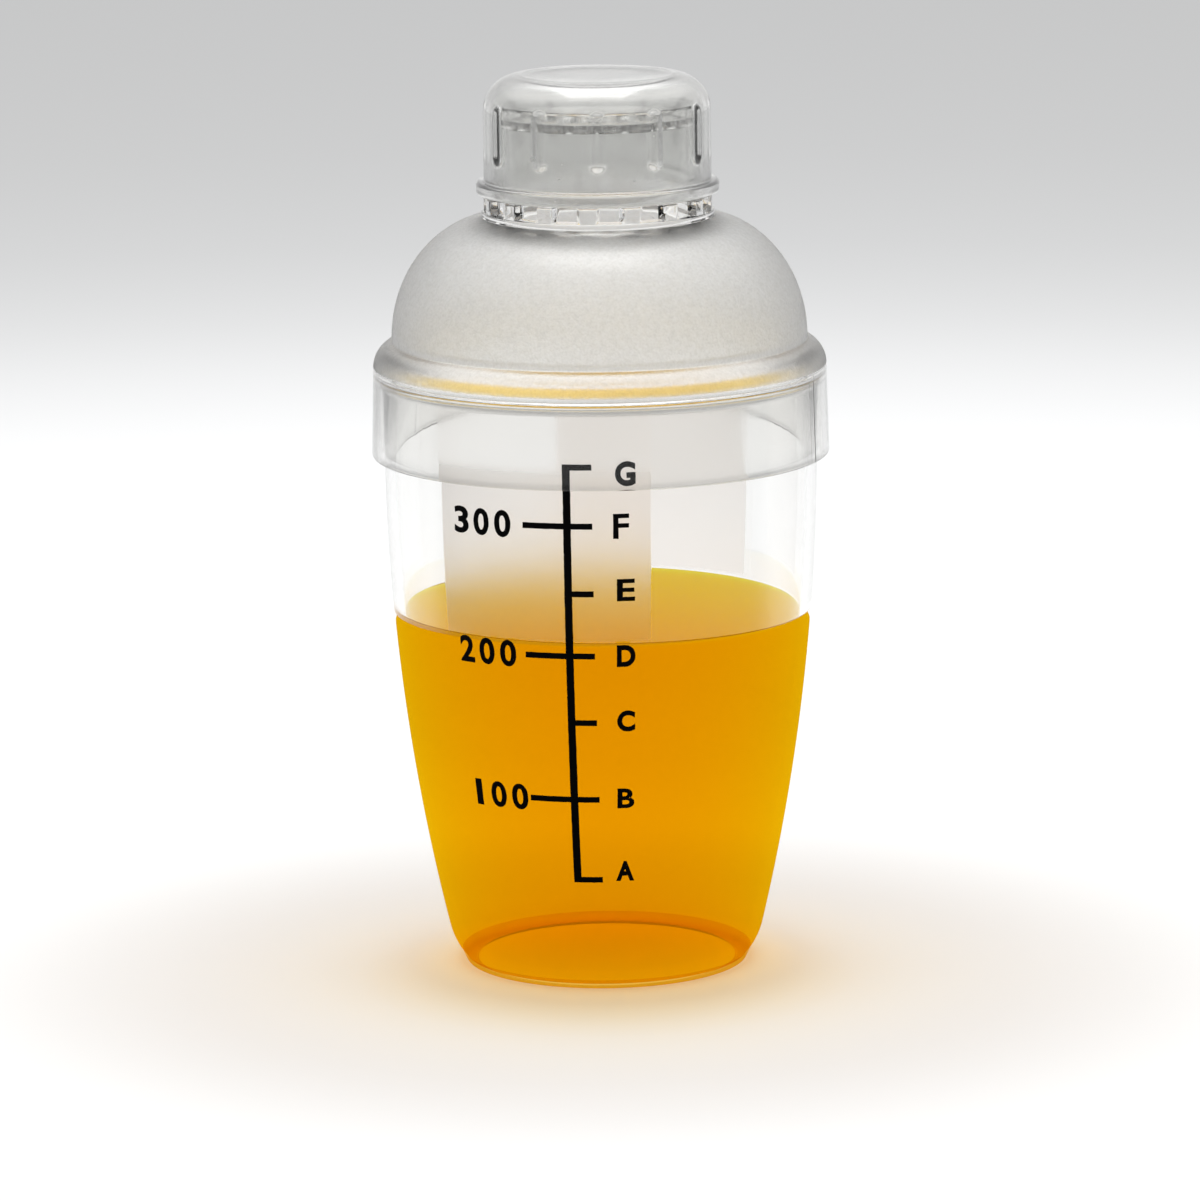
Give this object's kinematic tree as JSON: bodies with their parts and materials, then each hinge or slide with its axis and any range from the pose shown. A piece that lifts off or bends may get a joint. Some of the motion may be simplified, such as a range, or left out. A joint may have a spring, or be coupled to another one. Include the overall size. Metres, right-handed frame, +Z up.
{
  "type": "hand shaker",
  "caption": "Clear moulded hand shaker: a flared tumbler with a printed measuring scale, a domed strainer lid, a push-on cap and an orange drink.",
  "frame": {"origin": "centre of the tumbler's foot, on the surface it stands on", "axes": "+Z up along the axis of the tumbler, the lid and the cap; -Y is the front, where the printed scale is"},
  "size_m": [0.0848, 0.0848, 0.1664],
  "materials": {
    "clear_tumbler": "clear moulded polycarbonate, polished outside, with two faintly etched panels inside and black printed graduations",
    "orange_drink": null,
    "frosted_lid": "one clear moulding: frosted dome, polished skirt, lug ring, neck and strainer",
    "clear_cap": "slightly cloudy clear moulded polycarbonate, polished"
  },
  "bodies": {
    "tumbler": {"tumbler": "clear_tumbler", "drink": "orange_drink"},
    "lid": {"strainer_lid": "frosted_lid"},
    "cap": {"cap": "clear_cap"}
  },
  "joints": [
    {"name": "lid_lift", "type": "slide", "parent": "tumbler", "child": "lid", "axis": [0, 0, 1], "range_m": [0, 0.045]},
    {"name": "cap_lift", "type": "slide", "parent": "lid", "child": "cap", "axis": [0, 0, 1], "range_m": [0, 0.035]}
  ]
}
